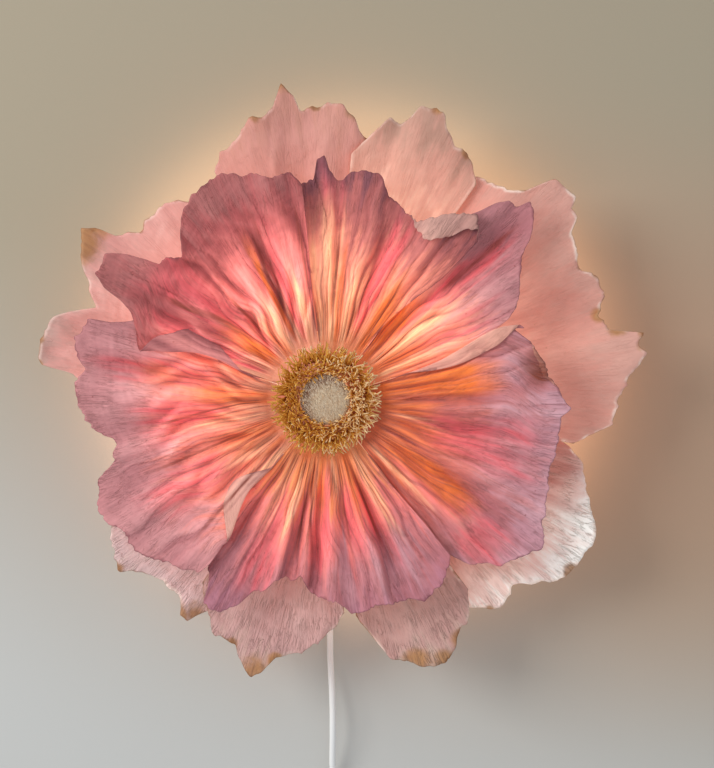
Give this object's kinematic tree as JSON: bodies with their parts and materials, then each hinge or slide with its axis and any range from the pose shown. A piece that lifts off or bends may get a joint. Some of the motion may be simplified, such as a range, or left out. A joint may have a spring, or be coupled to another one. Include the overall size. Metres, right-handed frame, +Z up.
{
  "type": "giant paper flower wall light",
  "caption": "Wall light shaped as a giant open flower of dyed, gathered crepe paper petals with a fringed centre, a hidden lamp and a mains cord.",
  "frame": {"origin": "middle of the wall plate's back face, where it lies on the wall", "axes": "+Z up along the wall, +Y into the wall, -Y out of the wall along the flower's axis, +X to the right seen from the room"},
  "size_m": [0.5234, 0.1143, 0.7477],
  "materials": {
    "petal_mauve": "crepe paper, dyed from orange at the heart to mauve at the rim, lit from behind",
    "petal_blush": "pale crepe paper with torn and browned edges, lit from behind",
    "stamen_ochre": "cut fringe of ochre paper with cream tips",
    "felt_beige": "short brushed felt",
    "plywood": "sanded birch plywood",
    "zinc_steel": "zinc plated",
    "aluminium_plain": "spun, plain",
    "board_white": "white solder mask",
    "opal_acrylic": "opal, satin",
    "cord_white": "soft white plastic",
    "nickel": "nickel plated"
  },
  "bodies": {
    "root": {"wall_plate": "plywood", "keyhole_hanger": "zinc_steel", "hanger_screw_left": "zinc_steel", "hanger_screw_right": "zinc_steel", "led_pan": "aluminium_plain", "led_board": "board_white", "diffuser": "opal_acrylic", "front_disc": "opal_acrylic", "standoff_post_1": "aluminium_plain", "standoff_post_2": "aluminium_plain", "standoff_post_3": "aluminium_plain", "outer_petal_1": "petal_blush", "outer_petal_2": "petal_blush", "outer_petal_3": "petal_blush", "outer_petal_4": "petal_blush", "outer_petal_5": "petal_blush", "outer_petal_6": "petal_blush", "outer_petal_7": "petal_blush", "outer_petal_8": "petal_blush", "inner_petal_1": "petal_mauve", "inner_petal_2": "petal_mauve", "inner_petal_3": "petal_mauve", "inner_petal_4": "petal_mauve", "inner_petal_5": "petal_mauve", "inner_petal_6": "petal_mauve", "stamen_fringe_inner": "stamen_ochre", "stamen_fringe_middle": "stamen_ochre", "stamen_fringe_outer": "stamen_ochre", "centre_button": "felt_beige", "cord_gland": "cord_white", "cord": "cord_white", "cord_coil": "cord_white", "cord_tail": "cord_white", "coil_tie": "cord_white", "plug_body": "cord_white", "plug_pin_left": "nickel", "plug_pin_right": "nickel"}
  },
  "joints": []
}
